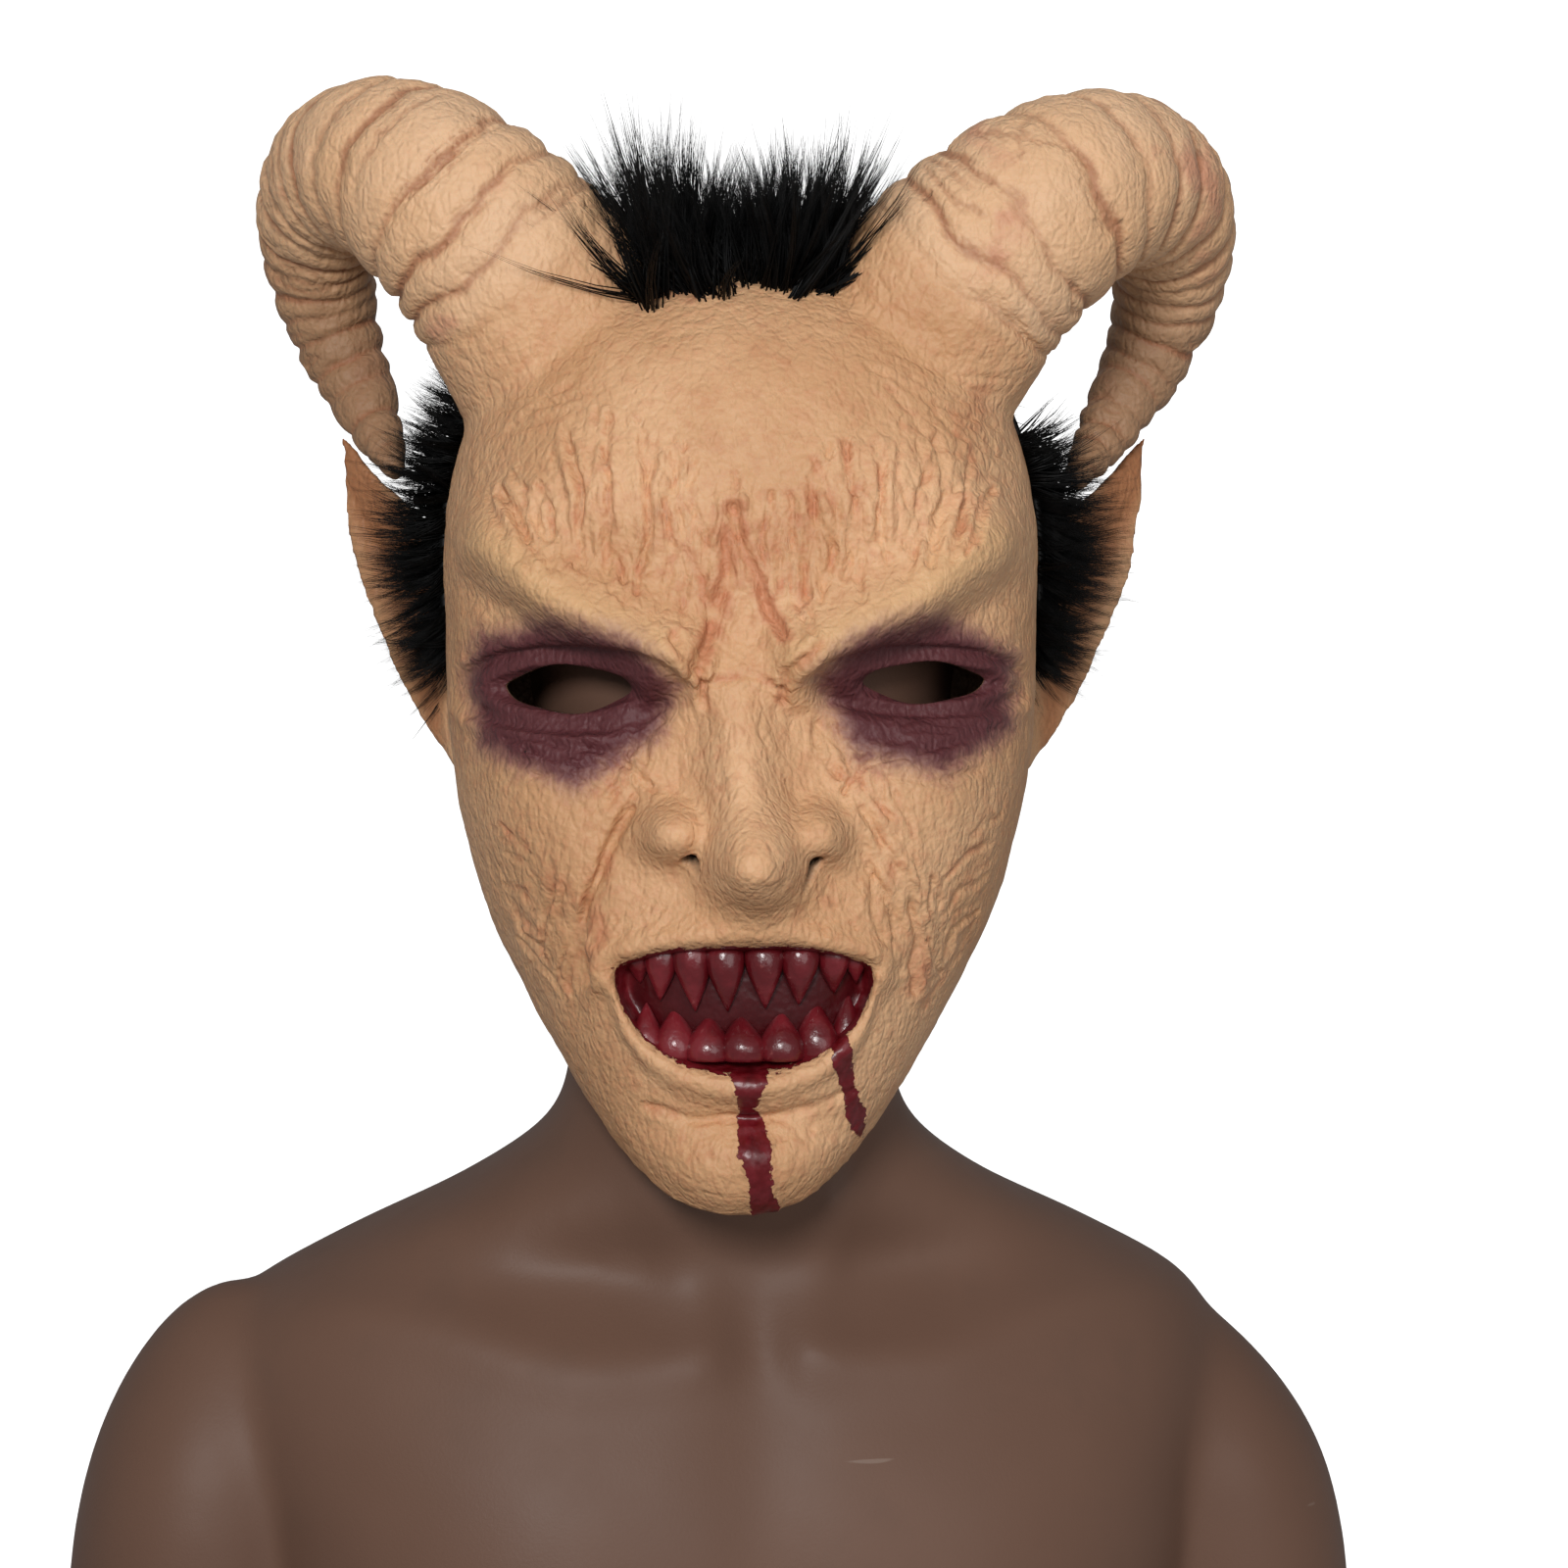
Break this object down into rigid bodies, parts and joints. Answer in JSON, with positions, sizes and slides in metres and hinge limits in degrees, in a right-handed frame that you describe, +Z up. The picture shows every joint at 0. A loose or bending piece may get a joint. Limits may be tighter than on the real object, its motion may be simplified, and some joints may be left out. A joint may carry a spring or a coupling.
{
  "type": "latex devil mask on display bust",
  "caption": "Overhead latex devil mask with curled horns, pointed ears, fangs and faux fur, worn by a brown mannequin bust it is shown on.",
  "frame": {"origin": "on the bust's flat underside, straight below the middle of the head", "axes": "+Z up, the face towards -Y, +X to the wearer's left"},
  "size_m": [0.4411, 0.2771, 0.5371],
  "materials": {
    "bust_plastic": "satin brown mannequin plastic",
    "latex": "matt flesh-coloured latex with washed creases",
    "fur": "black faux fur"
  },
  "bodies": {
    "root": {"display_bust": "bust_plastic", "devil_mask": "latex", "black_fur": "fur"}
  },
  "joints": []
}
